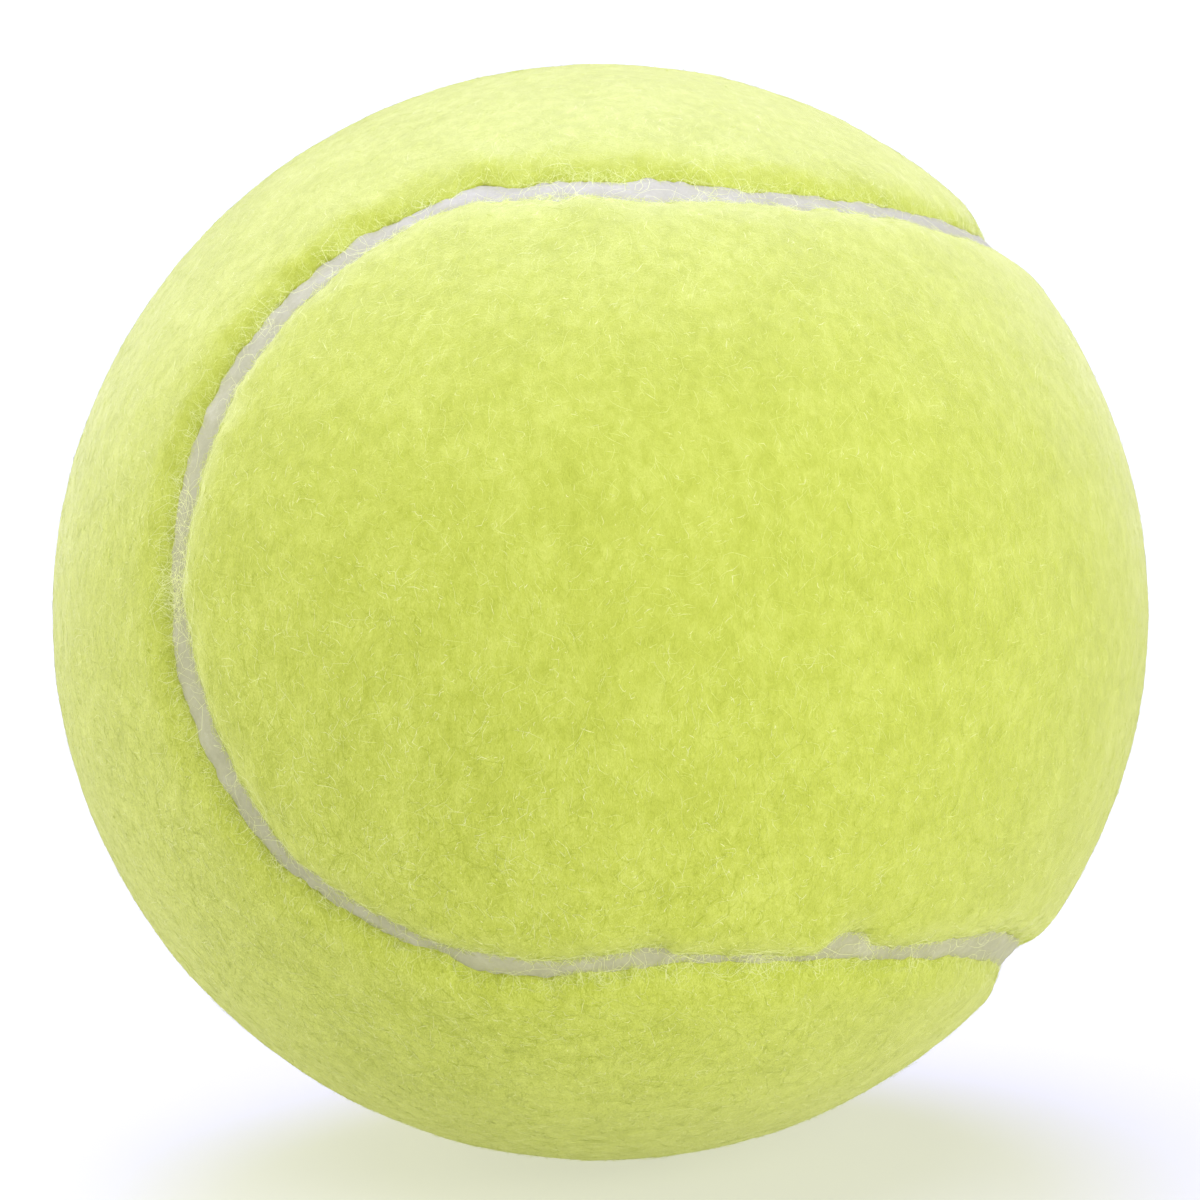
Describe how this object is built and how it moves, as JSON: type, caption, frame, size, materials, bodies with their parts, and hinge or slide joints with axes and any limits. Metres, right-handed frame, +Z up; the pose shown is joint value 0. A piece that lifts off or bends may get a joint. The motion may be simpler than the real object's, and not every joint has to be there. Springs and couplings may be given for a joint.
{
  "type": "tennis ball",
  "caption": "Hollow rubber ball with an interlocking dog-bone cover of optic yellow napped felt and a recessed pale rubber seam, for racket play.",
  "frame": {"origin": "centre of the ball", "axes": "+X through the middle of panel A's waist, which is the axis on which the two panels swap by a quarter turn and a reflection; +Z up as the ball lies in the picture, with panel A's front lobe 17 degrees above -Y; -Y towards the picture's viewer"},
  "size_m": [0.0666, 0.0666, 0.0666],
  "materials": {
    "core_rubber": "matte",
    "joint_cement": "matte",
    "cover_cement": "satin",
    "base_cloth": "matte",
    "nap_felt": "matte",
    "seam_rubber": "matte"
  },
  "bodies": {
    "root": {"core_half_lower": "core_rubber", "core_half_upper": "core_rubber", "core_joint_cement": "joint_cement", "seam_strip": "seam_rubber", "felt_a_cement": "cover_cement", "felt_a_base_cloth": "base_cloth", "felt_a_nap": "nap_felt", "felt_b_cement": "cover_cement", "felt_b_base_cloth": "base_cloth", "felt_b_nap": "nap_felt"}
  },
  "joints": []
}
